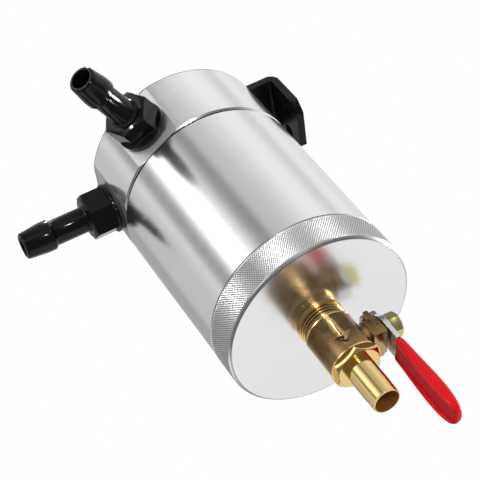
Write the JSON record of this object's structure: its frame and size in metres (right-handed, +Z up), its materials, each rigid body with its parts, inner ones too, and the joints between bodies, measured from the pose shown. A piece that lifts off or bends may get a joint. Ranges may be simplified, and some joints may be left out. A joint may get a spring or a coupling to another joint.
{
  "type": "oil catch can",
  "caption": "Cylindrical oil catch can with a screw-on cup, two angled hose tails, a folded hanging bracket and a lever ball valve under its base.",
  "frame": {"origin": "middle of the bracket's two fixing holes, on the outer face of its upright leg", "axes": "+Z up along the can's axis, from the drain valve to the head; +Y out of the bracket's fixing face, towards what the can is bolted to; the outlet hose tail points along -Y"},
  "size_m": [0.0986, 0.1163, 0.173],
  "materials": {
    "satin_aluminium": "turned and clear anodised, satin",
    "disc_aluminium": "plain mill finish",
    "black_anodised": "black anodised, glossy",
    "black_coated_steel": "black powder coat",
    "black_screw_steel": "black oxide",
    "plain_steel": "bright turned",
    "plated_steel": "nickel plated sheet",
    "yellow_zinc": "yellow zinc plated",
    "cast_brass": "cast, fine grain",
    "turned_brass": "turned, bright",
    "ball_chrome": "polished",
    "white_seat": "slippery white plastic",
    "red_vinyl": "dipped vinyl, glossy",
    "seal_rubber": "black rubber",
    "filter_felt": "pleated filter felt"
  },
  "bodies": {
    "head_unit": {"head": "satin_aluminium", "inlet_fitting": "black_anodised", "outlet_fitting": "black_anodised", "inlet_washer": "seal_rubber", "outlet_washer": "seal_rubber", "bracket": "black_coated_steel", "bracket_screws": "black_screw_steel", "filter_stem": "plain_steel", "filter_top_disc": "disc_aluminium", "filter_element": "filter_felt", "filter_bottom_disc": "disc_aluminium", "baffle_spacer": "disc_aluminium", "baffle_plate": "disc_aluminium", "baffle_nut": "plain_steel"},
    "seal_ring": {"cup_seal": "seal_rubber"},
    "cup_unit": {"cup": "satin_aluminium", "valve_body": "cast_brass", "valve_tail": "turned_brass", "upper_ball_seat": "white_seat", "lower_ball_seat": "white_seat"},
    "lever_unit": {"valve_ball": "ball_chrome", "valve_stem": "turned_brass", "stem_seal": "seal_rubber", "lever": "plated_steel", "lever_grip": "red_vinyl", "lever_washer": "plated_steel", "lever_nut": "yellow_zinc"}
  },
  "joints": [
    {"name": "cup_travel", "type": "slide", "parent": "head_unit", "child": "seal_ring", "axis": [0, 0, -1], "range_m": [0, 0.009]},
    {"name": "cup_turn", "type": "hinge", "parent": "seal_ring", "child": "cup_unit", "pos_m": [0, -0.0455, -0.0964], "axis": [0, 0, -1], "range_deg": [0, 2160]},
    {"name": "valve_turn", "type": "hinge", "parent": "cup_unit", "child": "lever_unit", "pos_m": [-0.00119, -0.02854, -0.11055], "axis": [0.0698, -0.9976, 0], "range_deg": [0, 90]}
  ],
  "couplings": [
    {"joint": "cup_travel", "follows": "cup_turn", "m_per_rad": 0.00023873}
  ]
}
